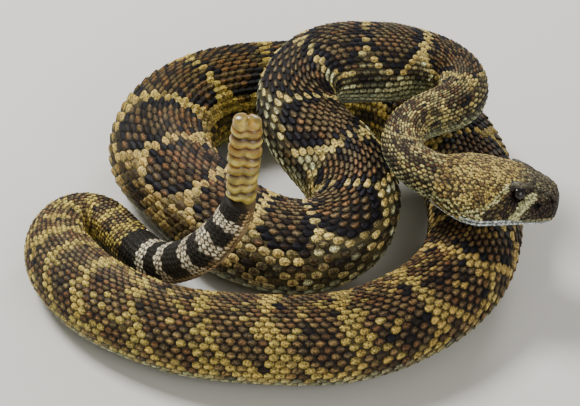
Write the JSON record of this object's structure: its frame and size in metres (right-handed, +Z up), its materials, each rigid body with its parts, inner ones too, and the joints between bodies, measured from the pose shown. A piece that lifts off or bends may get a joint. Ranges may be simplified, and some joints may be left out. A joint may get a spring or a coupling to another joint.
{
  "type": "coiled rattlesnake model",
  "caption": "Still life-size model of a western diamondback rattlesnake, coiled on the floor with its head held out over the coils and its rattle raised.",
  "frame": {"origin": "on the floor, under the middle of the model's box", "axes": "+X the way the head points, along the longest side; +Z up; the picture was taken from -Y"},
  "size_m": [0.2369, 0.2171, 0.1183],
  "materials": {
    "grey_brown_scales": "satin",
    "brown_scales": "satin",
    "mustard_scales": "satin",
    "ringed_tail": "satin",
    "head_scales": "satin",
    "chin_scales": "satin",
    "eye": "polished",
    "matrix_skin": "satin",
    "rattle_horn": "satin"
  },
  "bodies": {
    "root": {"head": "head_scales", "lower_jaw": "chin_scales", "eye_left": "eye", "eye_right": "eye", "neck": "grey_brown_scales", "arch": "grey_brown_scales", "descent": "grey_brown_scales", "inner_coil": "grey_brown_scales", "left_coil": "brown_scales", "back_coil": "brown_scales", "right_coil": "brown_scales", "front_coil": "mustard_scales", "tail_bend": "mustard_scales", "tail": "ringed_tail", "rattle_matrix": "matrix_skin", "rattle_ring_1": "rattle_horn", "rattle_ring_2": "rattle_horn", "rattle_ring_3": "rattle_horn", "rattle_ring_4": "rattle_horn", "rattle_ring_5": "rattle_horn", "rattle_ring_6": "rattle_horn", "rattle_ring_7": "rattle_horn", "rattle_ring_8": "rattle_horn", "rattle_ring_9": "rattle_horn"}
  },
  "joints": []
}
